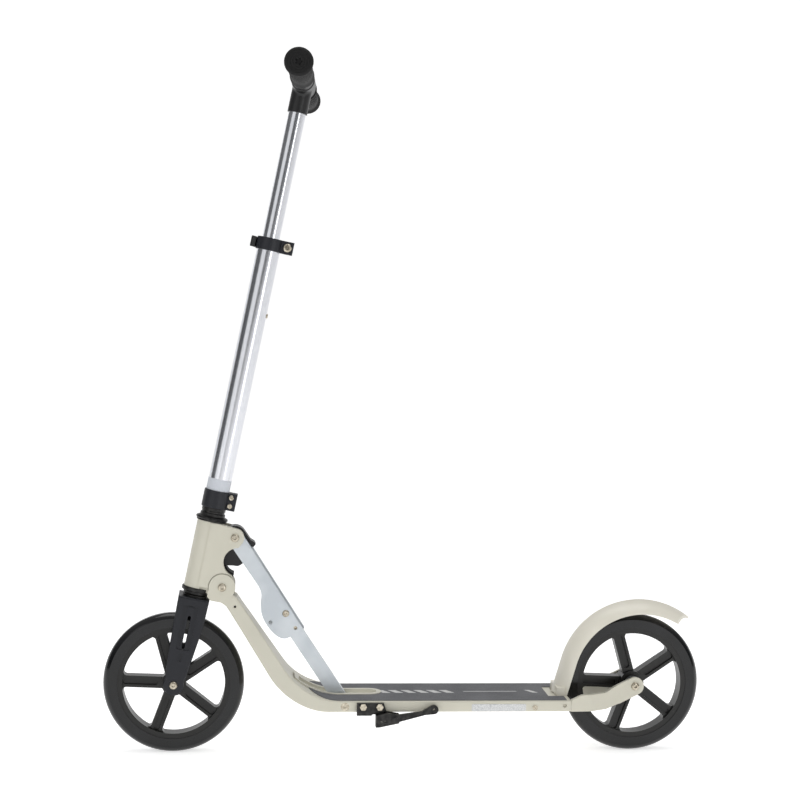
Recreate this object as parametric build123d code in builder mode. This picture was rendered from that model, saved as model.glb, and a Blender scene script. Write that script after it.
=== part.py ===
from build123d import *
import os
from math import radians, sin, cos, tan, atan2, degrees, hypot

os.makedirs("parts", exist_ok=True)

# Kick scooter, millimetres. +X points to the rear, +Y to the rider's right, +Z up.
# The origin is on the ground, midway between the two axles.

# ---- overall sizes ----
wheelbase = 680
wheel_radius = 102.5
head_tilt = 11            # column's lean back from vertical, degrees
fork_rake = 5             # axle stands this far in front of the column's axis
bar_height = 894          # along the column, from its foot beside the axle
bar_half_width = 195
bar_turn = -4.2           # the bar is clamped a little off square to the deck, in degrees
deck_half_width = 59.5
deck_bottom = 70
deck_top = 86
deck_wall = 2.5
deck_end_gap = 100        # from the end of the deck back to the rear axle
tape_thickness = 1

# ---- fits ----
running = 0.05            # radial clearance of a shaft in its bearing or bush
side_gap = 0.4            # between flat faces that slide past each other
pivot_radius = 4

# ---- wheels ----
tyre_inner_radius = 80
tyre_width = 28
tyre_edge_radius = 95     # where the tyre's flat side turns into its round tread
rim_inner_radius = 74.5
rim_width = 26
spoke_count = 5
spoke_width = 17
spoke_thickness = 20
spoke_groove_depth = 4
spoke_groove_width = 8.5
spoke_start = 34          # angle of the first spoke above the rearward direction
hub_radius = 18
hub_width = 29
bearing_radius = 11
bearing_width = 7
axle_radius = 4
axle_head_radius = 5.9
axle_head_height = 3.4

# ---- fork ----
blade_inner = 18.5        # half the gap between the blades
blade_outer = 27
blade_front = 24.5        # blade's reach in front of the column's axis at the crown
blade_back = 21
blade_toe_radius = 15
crown_bottom = 112        # heights along the column
crown_top = 130
blade_slot_width = 4.6
blade_slot_low = 54
blade_slot_high = 104
panel_depth = 1.2
steerer_radius = 13
steerer_bore = 10.5
steerer_top = 330

# ---- head ----
head_bottom = 144
head_top = 243
head_radius = 20.3
cup_radius = 18           # bore of the head tube, where the cups press in
bearing_race_radius = 16
cup_depth = 12
lower_flange_radius = 22.5
lower_flange_height = 6
upper_flange_radius = 22
upper_flange_height = 2.2
cheek_inner = 14
cheek_outer = 21.5
ear_recess_outer = 18     # the cheeks step in to this width inside the frame's ears
cheek_low_radius = 18.5   # round the fold pivot
cheek_high_radius = 13.5  # round the strut's top pivot
fold_pivot_out = 34.7     # behind the column's axis
fold_pivot_up = 153       # along the column
strut_pivot_out = 38.4
strut_pivot_up = 227.4
notch_out = 50
notch_up = 193
notch_radius = 21

# ---- column ----
nut_top = 262.6
nut_radius = 17.5
dust_cap_radius = 23.5
foot_clamp_bottom = 263
foot_clamp_height = 25.6
clamp_wall = 2.3
foot_clamp_reach = 12.8   # of the clamp's ears behind the tube
band_height = 17
band_wall = 0.3
lower_tube_radius = 17
lower_tube_bore = 15
lower_tube_top = 657
height_clamp_bottom = 645.5
height_clamp_height = 18.5
height_clamp_reach = 18
upper_tube_radius = 12.7
upper_tube_wall = 1.6
upper_tube_bottom = 520
bush_height = 55
button_up = 552
button_radius = 3.4
button_stand = 2
slot_width = 3            # slits in the clamps and the tube

# ---- handlebar ----
tee_sleeve_length = 45    # down from the bar's axis
tee_sleeve_radius = 14.6
tee_barrel_radius = 17
tee_half_width = 32
bar_radius = 11.1
bar_wall = 1.6
bar_sleeve_radius = 15.6
grip_start = 62
grip_end_radius = 20
grip_radius = 15.5
grip_neck_radius = 17.5

# ---- strut ----
foot_pivot_x = -92
foot_pivot_z = 77.8
knee_distance = 135.2     # from the top pivot to the knee
strut_half_width = 12.5
strut_wall = 2.5
strut_bar_half_width = strut_half_width - strut_wall - side_gap
strut_depth_below = 12
strut_top_at_pivot = 13.5
strut_top_at_end = 11
strut_overrun = 33.3      # channel's length past the knee
strut_edge_round = 2.4
lock_distance = 25.8      # lock pin from the knee, along the bar
lock_hole_radius = 2.9
lock_pin_radius = 2.8
bar_top = 7.6
bar_below = 13.5
foot_radius = 7.5
boss_radius = 8.3

# ---- deck ----
neck_angle = 57.3         # slope of the neck, degrees
neck_below = 9.5          # neck's lower face, below the line from the fold pivot
neck_above = 10.5
neck_above_at_bend = 16.5
neck_bend_radius = 104
neck_top_bend_radius = 100
ear_radius = 19.5
ear_inner = ear_recess_outer + 0.3
ear_outer = 23
ear_gap = 0.8             # between the ears' rims and the step in the cheeks
slot_half_width = 13
slot_front_x = -157
slot_rear_x = -42
trim_width = 7
trim_height = 2
tape_margin = 3.5
channel_inner = 34        # hollow passages along both sides of the deck
wheel_cut_half_width = 29
wheel_cut_depth = 17      # from the rear end of the deck
arm_inner = 31
arm_outer = 37
arm_end_radius = 13
arm_tongue_length = 75
screw_inset = 53.4
screw_z = 76
screw_radius = 3

# ---- fender ----
fender_centre_x = wheelbase / 2 + 12
fender_centre_z = 105
fender_ridge_radius = 121.5
fender_edge_radius = 103
fender_half_width = 28
fender_wall = 3
fender_foot_angle = 164    # below this the shell runs straight down to the deck
fender_foot_length = 72
fender_tip_angle = 51
fender_pin_inset = 9.5    # in front of the end of the deck
fender_pin_z = 79
fender_pin_radius = 3
fender_barrel_radius = 6
fender_spring_half = 9

# ---- kickstand ----
stand_plate = 5
stand_fork = 5.4          # width of the leg, and of the gap that holds it less its play
stand_pivot_x = -20
stand_pivot_z = 62
stand_leg_length = 58.2
stand_leg_rise = 13.6     # folded leg's slope, degrees
stand_hub_radius = 5.5
stand_toe_radius = 6.5
stand_front_x = -75
stand_bolt_z = 79
stand_bolt_front = -66
stand_bolt_rear = -42
stand_bolt_radius = 3

reflector_front_x = 93
reflector_length = 80
reflector_bottom = 71
reflector_height = 10.5

# ---- planes and points that the pieces share ----
tilt = radians(head_tilt)
front_axle = Vector(-wheelbase / 2, 0, wheel_radius)
rear_axle = Vector(wheelbase / 2, 0, wheel_radius)
across = Vector(cos(tilt), 0, -sin(tilt))
along = Vector(sin(tilt), 0, cos(tilt))
column_foot = front_axle + across * fork_rake
column = Plane(origin=column_foot, x_dir=across, z_dir=along)
column_axis = Axis(column_foot, along)
column_side = Plane(origin=column_foot, x_dir=across, z_dir=(0, -1, 0))
side = Plane.XZ

fold_pivot = column_side.from_local_coords(Vector(fold_pivot_out, fold_pivot_up, 0))
strut_pivot = column_side.from_local_coords(Vector(strut_pivot_out, strut_pivot_up, 0))
foot_pivot = Vector(foot_pivot_x, 0, foot_pivot_z)
strut_way = (foot_pivot - strut_pivot).normalized()
strut_length = (foot_pivot - strut_pivot).length
strut_side = Plane(origin=strut_pivot, x_dir=strut_way, z_dir=(0, -1, 0))
bar_length = strut_length - knee_distance
lock_along = knee_distance + lock_distance


def radial_plane(centre, angle):
    """A plane through an axle's line, with local x along the radius and local y along +Y."""
    turn = radians(angle)
    return Plane(origin=centre, x_dir=(cos(turn), 0, sin(turn)), z_dir=(-sin(turn), 0, cos(turn)))


def disc(plane, radius, bore=0):
    """A round face, or a ring when it has a bore."""
    with BuildSketch(plane) as face:
        Circle(radius)
        if bore:
            Circle(bore, mode=Mode.SUBTRACT)
    return face.sketch


def cross_bolt(centre, radius, half_grip, head_radius, head_height):
    """A bolt along Y with a domed head and a domed nut, each with a hex socket."""
    with BuildPart() as bolt:
        with BuildSketch(radial_plane(centre, 0)):
            with BuildLine():
                Polyline(
                    (0, half_grip + head_height),
                    (0, -half_grip - head_height),
                    (head_radius * 0.6, -half_grip - head_height),
                )
                for end in (-1, 1):
                    ThreePointArc(
                        (head_radius * 0.6, end * (half_grip + head_height)),
                        (head_radius * 0.9, end * (half_grip + head_height * 0.7)),
                        (head_radius, end * half_grip),
                    )
                    Line((head_radius, end * half_grip), (radius, end * half_grip))
                Line((radius, -half_grip), (radius, half_grip))
                Line(
                    (head_radius * 0.6, half_grip + head_height), (0, half_grip + head_height)
                )
            make_face()
        revolve(axis=Axis(centre, (0, 1, 0)))
        for end in (-1, 1):
            socket = Plane(
                origin=centre + Vector(0, end * (half_grip + head_height), 0), z_dir=(0, -end, 0)
            )
            with BuildSketch(socket):
                RegularPolygon(radius=head_radius * 0.42, side_count=6)
            extrude(amount=head_height * 0.75, mode=Mode.SUBTRACT)
    return bolt.part


def finish(piece, name):
    piece.label = name
    export_step(piece, f"parts/{name}.step")


# ==== deck frame ====
neck_way = Vector(cos(radians(neck_angle)), 0, -sin(radians(neck_angle)))
neck_out = Vector(sin(radians(neck_angle)), 0, cos(radians(neck_angle)))
deck_rear_x = wheelbase / 2 - deck_end_gap
wheel_cut_x = deck_rear_x - wheel_cut_depth
arm_tongue_front = deck_rear_x - arm_tongue_length
screw_x = deck_rear_x - screw_inset
fender_pin_x = deck_rear_x - fender_pin_inset


def neck_point(distance, height):
    """A point of the neck: its distance down from the fold pivot and its height over that line."""
    place = fold_pivot + neck_way * distance + neck_out * height
    return (place.X, place.Z)


def neck_corner(height, level):
    """Where a line at this height over the neck's line meets a level of the deck."""
    distance = (fold_pivot.Z + neck_out.Z * height - level) / sin(radians(neck_angle))
    return neck_point(distance, height)


def top_line(rise):
    """Corners of the line that runs a given rise over the deck's top and up the neck."""
    return [
        (deck_rear_x, deck_top + rise),
        neck_corner(neck_above_at_bend + rise, deck_top + rise),
        neck_point(neck_top_start, neck_above + rise),
    ]


def heel_corner(out, up):
    """A point of the ears' heel, given behind the column's axis and up along it."""
    place = column_side.from_local_coords(Vector(out, up, 0))
    return (place.X, place.Z)


neck_top_start = 24
lower_corner = neck_corner(-neck_below, deck_bottom)
lower_start = neck_point(12, -neck_below)


def over_deck(low, high, half_width):
    """A layer that follows the deck's top and the neck, between two heights over them."""
    with BuildPart() as layer:
        with BuildSketch(side):
            with BuildLine():
                under = FilletPolyline(*top_line(low), radius=neck_top_bend_radius - low)
                over = FilletPolyline(*top_line(high), radius=neck_top_bend_radius - high)
                Line(under @ 0, over @ 0)
                Line(under @ 1, over @ 1)
            make_face()
        extrude(amount=half_width, both=True)
    return layer.part


def slot_outline(plane, margin):
    """The long opening for the strut: square in front, coming to a rounded point behind."""
    half = slot_half_width + margin
    with BuildSketch(plane) as outline:
        with BuildLine():
            Polyline(
                (slot_rear_x - 14, half),
                (slot_front_x - margin, half),
                (slot_front_x - margin, -half),
                (slot_rear_x - 14, -half),
            )
            ThreePointArc(
                (slot_rear_x - 14, half), (slot_rear_x + margin, 0), (slot_rear_x - 14, -half)
            )
        make_face()
    return outline.sketch


with BuildPart() as deck_frame:
    with BuildSketch(side):
        with BuildLine():
            lower = FilletPolyline(
                lower_start, lower_corner, (deck_rear_x, deck_bottom), radius=neck_bend_radius
            )
            upper = FilletPolyline(*top_line(0), radius=neck_top_bend_radius)
            Line(lower @ 1, upper @ 0)
            Line(upper @ 1, lower @ 0)
        make_face()
    extrude(amount=deck_half_width, both=True)
    # plan view: narrow at the ears, widening down the neck to the deck
    with BuildSketch(Plane.XY):
        with BuildLine():
            near = FilletPolyline(
                (fold_pivot.X, -ear_outer),
                (fold_pivot.X + 22, -ear_outer),
                (fold_pivot.X + 137, -deck_half_width),
                (deck_rear_x, -deck_half_width),
                radius=90,
            )
            far = FilletPolyline(
                (fold_pivot.X, ear_outer),
                (fold_pivot.X + 22, ear_outer),
                (fold_pivot.X + 137, deck_half_width),
                (deck_rear_x, deck_half_width),
                radius=90,
            )
            Line(near @ 0, far @ 0)
            Line(near @ 1, far @ 1)
        make_face()
    extrude(amount=fold_pivot.Z + 40, mode=Mode.INTERSECT)
    fillet(deck_frame.edges().filter_by(lambda e: abs(e.center().Y) > ear_outer - 1
           and e.center().X < deck_rear_x - 1 and e.length > 20), radius=2.2)
    # ears round the fold pivot, with a heel that stops against the lower bearing cup
    with BuildSketch(side.offset(ear_inner)) as ear:
        with Locations((fold_pivot.X, fold_pivot.Z)):
            Circle(ear_radius)
        with BuildLine():
            Polyline(
                neck_point(0, 0),
                heel_corner(15.5, fold_pivot_up - 8),
                heel_corner(16.5, crown_top + 5.5),
                heel_corner(22.5, crown_top + 1),
                heel_corner(38, crown_top + 1),
                neck_point(26, -neck_below),
                neck_point(34, 0),
                neck_point(26, neck_above),
                neck_point(0, 0),
            )
        make_face()
    extrude(amount=ear_outer - ear_inner)
    mirror(about=Plane.XZ)
    fillet(deck_frame.edges().filter_by(GeomType.CIRCLE).filter_by(
        lambda e: abs(abs(e.center().Y) - ear_outer) < 0.01 and abs(e.radius - ear_radius) < 0.01),
        radius=1.2)
    # room between the ears for the head's cheeks
    with BuildSketch(side):
        with Locations((fold_pivot.X, fold_pivot.Z)):
            Circle(cheek_low_radius + 2.5)
    extrude(amount=ear_inner, both=True, mode=Mode.SUBTRACT)
    # strut slot, wheel cut-out and the hollow passages
    extrude(slot_outline(Plane.XY.offset(deck_bottom - 20), 0), amount=100, mode=Mode.SUBTRACT)
    with BuildSketch(Plane.XY.offset(deck_bottom - 5)):
        with Locations(((wheel_cut_x + deck_rear_x) / 2 + 5, 0)):
            Rectangle(deck_rear_x - wheel_cut_x + 10, 2 * wheel_cut_half_width)
    extrude(amount=40, mode=Mode.SUBTRACT)
    with BuildSketch(Plane.YZ.offset(deck_rear_x)):
        for hand in (-1, 1):
            with Locations(
                (hand * (channel_inner + deck_half_width - deck_wall) / 2,
                 (deck_bottom + deck_top) / 2)
            ):
                Rectangle(
                    deck_half_width - deck_wall - channel_inner, deck_top - deck_bottom - 2 * deck_wall
                )
    extrude(amount=-(deck_rear_x - foot_pivot_x - 20), mode=Mode.SUBTRACT)
    # bores along Y
    extrude(disc(Plane(origin=fold_pivot, z_dir=(0, -1, 0)), pivot_radius), amount=60, both=True,
            mode=Mode.SUBTRACT)
    extrude(disc(Plane(origin=foot_pivot, z_dir=(0, -1, 0)), pivot_radius), amount=80, both=True,
            mode=Mode.SUBTRACT)
    for hand in (-1, 1):
        with BuildSketch(Plane(origin=foot_pivot + Vector(0, hand * deck_half_width, 0),
                               z_dir=(0, -hand, 0))):
            Circle(pivot_radius + 2.5)
        extrude(amount=2.5, taper=45, mode=Mode.SUBTRACT)
    with BuildSketch(side):
        with Locations((screw_x, screw_z)):
            Circle(screw_radius)
        with Locations((fender_pin_x, fender_pin_z)):
            Circle(fender_pin_radius)
        with Locations((stand_bolt_front, stand_bolt_z), (stand_bolt_rear, stand_bolt_z)):
            Circle(stand_bolt_radius)
    extrude(amount=deck_half_width + 5, both=True, mode=Mode.SUBTRACT)
    with BuildSketch(side.offset(-ear_outer - 5)):
        with Locations(neck_point(34, 1)):
            Circle(2)
    extrude(amount=0.1 + 2 * ear_outer + 10, mode=Mode.SUBTRACT)
finish(deck_frame.part, "deck_frame")

with BuildPart() as grip_tape:
    add(over_deck(0, tape_thickness, deck_half_width - tape_margin))
    with BuildSketch(Plane.XY):
        with BuildLine():
            Polyline(
                (wheel_cut_x - 12, -deck_half_width),
                (deck_rear_x - 6, -deck_half_width),
                (deck_rear_x - 6, -wheel_cut_half_width - 2),
                (wheel_cut_x - 12, -wheel_cut_half_width - 2),
                (wheel_cut_x - 12, wheel_cut_half_width + 2),
                (deck_rear_x - 6, wheel_cut_half_width + 2),
                (deck_rear_x - 6, deck_half_width),
                (slot_front_x + 60, deck_half_width),
            )
            ThreePointArc(
                (slot_front_x + 60, deck_half_width),
                (slot_front_x + 30, deck_half_width - 12),
                (slot_front_x + 14, slot_half_width + trim_width),
            )
            Line(
                (slot_front_x + 14, slot_half_width + trim_width),
                (slot_front_x + 14, -slot_half_width - trim_width),
            )
            ThreePointArc(
                (slot_front_x + 14, -slot_half_width - trim_width),
                (slot_front_x + 30, -deck_half_width + 12),
                (slot_front_x + 60, -deck_half_width),
            )
            Line((slot_front_x + 60, -deck_half_width), (wheel_cut_x - 12, -deck_half_width))
        make_face()
    extrude(amount=200, mode=Mode.INTERSECT)
    extrude(slot_outline(Plane.XY, trim_width + 0.2), amount=200, mode=Mode.SUBTRACT)
finish(grip_tape.part, "grip_tape")

with BuildPart() as slot_trim:
    add(over_deck(0, trim_height, slot_half_width + trim_width))
    extrude(slot_outline(Plane.XY, trim_width), amount=200, mode=Mode.INTERSECT)
    extrude(slot_outline(Plane.XY, 0), amount=200, mode=Mode.SUBTRACT)
finish(slot_trim.part, "slot_trim")

# ==== rear arms ====
arm_axle_x = wheelbase / 2
for hand, name in ((-1, "rear_arm_left"), (1, "rear_arm_right")):
    with BuildPart() as rear_arm:
        with BuildSketch(Plane.XY.offset(deck_bottom - 5)):
            with BuildLine():
                outer_bend = FilletPolyline(
                    (deck_rear_x + 0.3, hand * deck_half_width),
                    (deck_rear_x + 28, hand * deck_half_width),
                    (arm_axle_x - 26, hand * arm_outer),
                    (arm_axle_x + 20, hand * arm_outer),
                    radius=22,
                )
                inner_bend = FilletPolyline(
                    (deck_rear_x + 0.3, hand * (deck_half_width - 7)),
                    (deck_rear_x + 25, hand * (deck_half_width - 7)),
                    (arm_axle_x - 29, hand * arm_inner),
                    (arm_axle_x + 20, hand * arm_inner),
                    radius=20,
                )
                Line(outer_bend @ 0, inner_bend @ 0)
                Line(outer_bend @ 1, inner_bend @ 1)
            make_face()
        extrude(amount=80)
        with BuildSketch(side):
            with BuildLine():
                Polyline(
                    (arm_axle_x - arm_end_radius * 0.5, wheel_radius + arm_end_radius * 0.87),
                    (arm_axle_x - 46, deck_top + 9),
                    (arm_axle_x - 84, deck_top + 8),
                    (deck_rear_x - 1, deck_top),
                    (deck_rear_x - 1, deck_bottom),
                    (arm_axle_x - 46, deck_bottom + 0.5),
                    (arm_axle_x - 22, deck_bottom + 7),
                    (arm_axle_x + arm_end_radius * 0.5, wheel_radius - arm_end_radius * 0.87),
                )
                ThreePointArc(
                    (arm_axle_x + arm_end_radius * 0.5, wheel_radius - arm_end_radius * 0.87),
                    (arm_axle_x + arm_end_radius * 0.87, wheel_radius + arm_end_radius * 0.5),
                    (arm_axle_x - arm_end_radius * 0.5, wheel_radius + arm_end_radius * 0.87),
                )
            make_face()
        extrude(amount=deck_half_width + 5, both=True, mode=Mode.INTERSECT)
        # tongue that slides into the deck's hollow side passage
        tongue_height = deck_top - deck_bottom - 2 * deck_wall - 0.6
        tongue_outer = deck_half_width - deck_wall - 0.2
        with BuildSketch(Plane.YZ.offset(arm_tongue_front)):
            with Locations((hand * (tongue_outer - 3.2), (deck_bottom + deck_top) / 2)):
                Rectangle(6.4, tongue_height)
        extrude(amount=deck_rear_x + 6 - arm_tongue_front)
        with BuildSketch(side):
            with Locations((arm_axle_x, wheel_radius)):
                Circle(axle_radius)
            with Locations((screw_x, screw_z)):
                Circle(screw_radius)
        extrude(amount=deck_half_width + 5, both=True, mode=Mode.SUBTRACT)
    finish(rear_arm.part, name)

with BuildPart() as rear_arm_screws:
    for hand in (-1, 1):
        with BuildSketch(Plane(origin=(screw_x, hand * (deck_half_width - 9), screw_z),
                               z_dir=(0, hand, 0))):
            Circle(screw_radius)
        extrude(amount=9)
        with BuildSketch(Plane(origin=(screw_x, hand * deck_half_width, screw_z),
                               z_dir=(0, hand, 0))):
            Circle(screw_radius + 0.8)
            RegularPolygon(radius=1.6, side_count=6, mode=Mode.SUBTRACT)
        extrude(amount=1)
finish(rear_arm_screws.part, "rear_arm_screws")

with BuildPart() as side_reflectors:
    for hand in (-1, 1):
        with BuildSketch(Plane.XZ.offset(-hand * deck_half_width)):
            with Locations((reflector_front_x + reflector_length / 2,
                            reflector_bottom + reflector_height / 2)):
                RectangleRounded(reflector_length, reflector_height, 1.5)
        extrude(amount=-hand * 0.5)
finish(side_reflectors.part, "side_reflectors")

finish(cross_bolt(fold_pivot, pivot_radius, ear_outer, axle_head_radius, 3), "fold_bolt")

with BuildPart() as foot_pins:
    for hand in (-1, 1):
        with BuildSketch(Plane(origin=foot_pivot + Vector(0, hand * (slot_half_width + 0.2), 0),
                               z_dir=(0, hand, 0))):
            Circle(pivot_radius)
        extrude(amount=deck_half_width - slot_half_width - 0.4)
        with BuildSketch(Plane(origin=foot_pivot + Vector(0, hand * (deck_half_width - 0.2), 0),
                               z_dir=(0, -hand, 0))):
            Circle(pivot_radius + 2.3)
        extrude(amount=2.2, taper=45)
        with BuildSketch(Plane(origin=foot_pivot + Vector(0, hand * (deck_half_width - 0.2), 0),
                               z_dir=(0, -hand, 0))):
            RegularPolygon(radius=2.2, side_count=6)
        extrude(amount=1.6, mode=Mode.SUBTRACT)
finish(foot_pins.part, "foot_pins")

# ==== wheels ====
def make_tyre(axle):
    half = tyre_width / 2
    with BuildPart() as tyre:
        with BuildSketch(radial_plane(axle, 0)):
            with BuildLine():
                Polyline(
                    (tyre_edge_radius, half),
                    (tyre_inner_radius + 2, half),
                    (tyre_inner_radius + 2, half - 4),
                    (tyre_inner_radius, half - 4),
                    (tyre_inner_radius, -half + 4),
                    (tyre_inner_radius + 2, -half + 4),
                    (tyre_inner_radius + 2, -half),
                    (tyre_edge_radius, -half),
                )
                for end in (-1, 1):
                    ThreePointArc(
                        (tyre_edge_radius, end * half),
                        (wheel_radius - 2.4, end * (half - 4.6)),
                        (wheel_radius, end * 3.5),
                    )
                Line((wheel_radius, 3.5), (wheel_radius, -3.5))
            make_face()
        revolve(axis=Axis(axle, (0, 1, 0)))
    return tyre.part


def make_rim(axle):
    half = rim_width / 2
    with BuildPart() as rim:
        with BuildSketch(radial_plane(axle, 0)):
            with BuildLine():
                Polyline(
                    (rim_inner_radius, half),
                    (tyre_inner_radius + 2, half),
                    (tyre_inner_radius + 2, half - 3),
                    (tyre_inner_radius, half - 3),
                    (tyre_inner_radius, -half + 3),
                    (tyre_inner_radius + 2, -half + 3),
                    (tyre_inner_radius + 2, -half),
                    (rim_inner_radius, -half),
                    (rim_inner_radius, half),
                )
            make_face()
        revolve(axis=Axis(axle, (0, 1, 0)))
        extrude(disc(Plane(origin=axle, z_dir=(0, -1, 0)), hub_radius), amount=hub_width / 2, both=True)
        reach = (tyre_inner_radius + rim_inner_radius) / 2
        for number in range(spoke_count):
            spoke = radial_plane(axle, spoke_start + number * 360 / spoke_count)
            with BuildSketch(spoke.offset(-spoke_width / 2)):
                with BuildLine():
                    Polyline(
                        (hub_radius - 3, -spoke_thickness / 2),
                        (reach, -spoke_thickness / 2 + 1),
                        (reach, spoke_thickness / 2 - 1),
                        (hub_radius - 3, spoke_thickness / 2),
                        (hub_radius - 3, -spoke_thickness / 2),
                    )
                make_face()
            extrude(amount=spoke_width)
        fillet(
            rim.edges().filter_by(Axis.Y).filter_by(
                lambda e: rim_inner_radius - 3 < hypot(e.center().X - axle.X, e.center().Z - axle.Z)
                < rim_inner_radius + 1),
            radius=5,
        )
        # rounded grooves in both faces of each spoke
        for number in range(spoke_count):
            turn = radians(spoke_start + number * 360 / spoke_count)
            for end in (-1, 1):
                face = Plane(
                    origin=axle + Vector(0, end * (spoke_thickness / 2 + 1), 0),
                    x_dir=(cos(turn), 0, sin(turn)),
                    z_dir=(0, -end, 0),
                )
                with BuildSketch(face):
                    with Locations(((hub_radius + reach) / 2 + 1, 0)):
                        SlotOverall(reach - hub_radius - 8, spoke_groove_width)
                extrude(amount=spoke_groove_depth + 1, mode=Mode.SUBTRACT)
        # bearing seats, with a shoulder between them
        extrude(disc(Plane(origin=axle, z_dir=(0, -1, 0)), bearing_radius - 2), amount=hub_width / 2,
                both=True, mode=Mode.SUBTRACT)
        for end in (-1, 1):
            seat = Plane(origin=axle + Vector(0, end * hub_width / 2, 0), z_dir=(0, -end, 0))
            extrude(disc(seat, bearing_radius), amount=bearing_width, mode=Mode.SUBTRACT)
    return rim.part


def make_bearings(axle):
    with BuildPart() as bearings:
        for end in (-1, 1):
            seat = Plane(origin=axle + Vector(0, end * hub_width / 2, 0), z_dir=(0, -end, 0))
            extrude(disc(seat, bearing_radius, axle_radius + running), amount=bearing_width)
            extrude(disc(seat, bearing_radius - 2, axle_radius + 2), amount=0.6, mode=Mode.SUBTRACT)
    return bearings.part


def make_inner_spacer(axle):
    length = hub_width - 2 * bearing_width
    start = Plane(origin=axle + Vector(0, length / 2, 0), z_dir=(0, -1, 0))
    with BuildPart() as spacer:
        extrude(disc(start, axle_radius + 2.5, axle_radius + running), amount=length)
    return spacer.part


def make_side_spacers(axle, inner_face):
    with BuildPart() as spacers:
        for end in (-1, 1):
            start = Plane(origin=axle + Vector(0, end * (hub_width / 2 + 0.2), 0), z_dir=(0, end, 0))
            extrude(disc(start, axle_radius + 3, axle_radius), amount=inner_face - hub_width / 2 - 0.2)
    return spacers.part


for end, axle, inner_face, outer_face in (
    ("front", front_axle, blade_inner, blade_outer),
    ("rear", rear_axle, arm_inner, arm_outer),
):
    finish(make_tyre(axle), f"{end}_tyre")
    finish(make_rim(axle), f"{end}_rim")
    finish(make_bearings(axle), f"{end}_bearings")
    finish(make_inner_spacer(axle), f"{end}_inner_spacer")
    finish(make_side_spacers(axle, inner_face), f"{end}_side_spacers")
    finish(
        cross_bolt(axle, axle_radius, outer_face, axle_head_radius, axle_head_height),
        f"{end}_axle",
    )

# ==== fork, steerer and headset ====
with BuildPart() as fork:
    with BuildSketch(column_side):
        with BuildLine():
            Polyline(
                (-fork_rake - blade_toe_radius * 0.95, 5),
                (-blade_front + 2, 60),
                (-blade_front, crown_top),
                (blade_back, crown_top),
                (blade_back - 1, 90),
                (-fork_rake + blade_toe_radius * 0.95, 5),
            )
            ThreePointArc(
                (-fork_rake - blade_toe_radius * 0.95, 5),
                (-fork_rake, -blade_toe_radius),
                (-fork_rake + blade_toe_radius * 0.95, 5),
            )
        make_face()
    extrude(amount=blade_outer, both=True)
    fillet(fork.edges().filter_by(lambda e: abs(abs(e.center().Y) - blade_outer) < 0.01), radius=2.5)
    # gap for the wheel
    with BuildSketch(column_side):
        with Locations((0, crown_bottom / 2 - 30)):
            Rectangle(80, crown_bottom + 60)
    extrude(amount=blade_inner, both=True, mode=Mode.SUBTRACT)
    # long slot through each blade, a shallow panel round it and a pocket below it
    with BuildSketch(column_side):
        with Locations((-2.5, (blade_slot_low + blade_slot_high) / 2)):
            SlotOverall(blade_slot_high - blade_slot_low, blade_slot_width, rotation=90)
        with Locations((-fork_rake, 0)):
            Circle(axle_radius)
    extrude(amount=blade_outer + 2, both=True, mode=Mode.SUBTRACT)
    for end in (-1, 1):
        with BuildSketch(column_side.offset(end * (blade_outer - panel_depth))):
            with Locations((-2.5, 86)):
                RectangleRounded(20, 66, 3)
            with Locations((-2.5, 86)):
                RectangleRounded(11, 62, 3, mode=Mode.SUBTRACT)
            with Locations((-3.5, 42)):
                SlotOverall(13, blade_slot_width, rotation=90)
        extrude(amount=end * 5, mode=Mode.SUBTRACT)
    extrude(disc(column.offset(crown_bottom - 1), steerer_radius), amount=40, mode=Mode.SUBTRACT)
finish(fork.part, "fork")

with BuildPart() as steerer:
    extrude(disc(column.offset(crown_bottom), steerer_radius, steerer_bore),
            amount=steerer_top - crown_bottom)
finish(steerer.part, "steerer")

with BuildPart() as crown_race:
    flange_bottom = head_bottom - lower_flange_height
    with BuildSketch(column_side):
        with BuildLine():
            Polyline(
                (steerer_radius, crown_top),
                (19, crown_top),
                (19, crown_top + 2.6),
                (17.6, crown_top + 3.6),
                (19, crown_top + 4.6),
                (19, flange_bottom - side_gap),
                (steerer_radius, flange_bottom - side_gap),
                (steerer_radius, crown_top),
            )
        make_face()
    revolve(axis=column_axis)
finish(crown_race.part, "crown_race")

with BuildPart() as lower_cup:
    extrude(disc(column.offset(flange_bottom), lower_flange_radius, bearing_race_radius),
            amount=lower_flange_height)
    fillet(lower_cup.edges().filter_by(GeomType.CIRCLE).group_by(SortBy.RADIUS)[-1], radius=1.5)
    extrude(disc(column.offset(head_bottom), cup_radius, bearing_race_radius), amount=cup_depth)
finish(lower_cup.part, "lower_cup")

with BuildPart() as upper_cup:
    extrude(disc(column.offset(head_top), upper_flange_radius, bearing_race_radius),
            amount=upper_flange_height)
    extrude(disc(column.offset(head_top - cup_depth), cup_radius, bearing_race_radius),
            amount=cup_depth)
finish(upper_cup.part, "upper_cup")

with BuildPart() as headset_bearings:
    for start in (flange_bottom + 3, head_top - 6):
        extrude(disc(column.offset(start), bearing_race_radius, steerer_radius + running), amount=8)
finish(headset_bearings.part, "headset_bearings")

with BuildPart() as headset_nut:
    cap_bottom = head_top + upper_flange_height + 0.3
    with BuildSketch(column_side):
        with BuildLine():
            Polyline(
                (steerer_radius, cap_bottom),
                (dust_cap_radius - 1, cap_bottom),
                (dust_cap_radius, cap_bottom + 1.2),
                (dust_cap_radius - 0.6, cap_bottom + 3.4),
                (nut_radius + 0.8, cap_bottom + 5.6),
                (nut_radius + 0.8, cap_bottom + 9),
                (nut_radius - 0.7, cap_bottom + 10),
                (nut_radius - 0.7, cap_bottom + 12),
                (nut_radius, cap_bottom + 13),
                (nut_radius, nut_top),
                (steerer_radius, nut_top),
                (steerer_radius, cap_bottom),
            )
        make_face()
    revolve(axis=column_axis)
finish(headset_nut.part, "headset_nut")

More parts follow.
